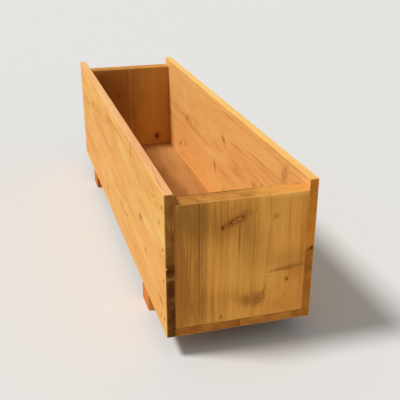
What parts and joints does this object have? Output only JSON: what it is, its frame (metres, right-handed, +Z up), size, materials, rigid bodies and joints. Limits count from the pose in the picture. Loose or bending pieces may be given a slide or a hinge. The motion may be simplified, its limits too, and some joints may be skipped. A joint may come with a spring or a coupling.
{
  "type": "wooden trough planter",
  "caption": "Long open-topped wooden trough planter: edge-joined board sides nailed to thick end panels, on a board floor with cross feet.",
  "frame": {"origin": "middle of the footprint, on the ground", "axes": "+X along the box towards the end that is nearest in the picture, -Y towards the long side seen in the picture, +Z up"},
  "size_m": [1.216, 0.314, 0.36],
  "materials": {
    "side_board_wood": "planed softwood, warm golden oil, satin",
    "floor_board_wood": "planed softwood, warm golden oil, satin",
    "end_panel_wood": "planed knotty softwood, warm golden oil, satin",
    "foot_wood": "planed softwood, oiled",
    "nail_steel": "dull, darkened by weather",
    "screw_steel": "yellow passivated zinc"
  },
  "bodies": {
    "root": {"back_floor_board": "floor_board_wood", "back_lower_side_board": "side_board_wood", "back_upper_side_board": "side_board_wood", "front_floor_board": "floor_board_wood", "front_lower_side_board": "side_board_wood", "front_upper_side_board": "side_board_wood", "left_back_floor_screws": "screw_steel", "left_back_lower_nails": "nail_steel", "left_back_panel_screws": "screw_steel", "left_back_upper_nails": "nail_steel", "left_end_panel": "end_panel_wood", "left_foot": "foot_wood", "left_front_floor_screws": "screw_steel", "left_front_lower_nails": "nail_steel", "left_front_panel_screws": "screw_steel", "left_front_upper_nails": "nail_steel", "left_side_screws": "screw_steel", "right_back_floor_screws": "screw_steel", "right_back_lower_nails": "nail_steel", "right_back_panel_screws": "screw_steel", "right_back_upper_nails": "nail_steel", "right_end_panel": "end_panel_wood", "right_foot": "foot_wood", "right_front_floor_screws": "screw_steel", "right_front_lower_nails": "nail_steel", "right_front_panel_screws": "screw_steel", "right_front_upper_nails": "nail_steel", "right_side_screws": "screw_steel"}
  },
  "joints": []
}
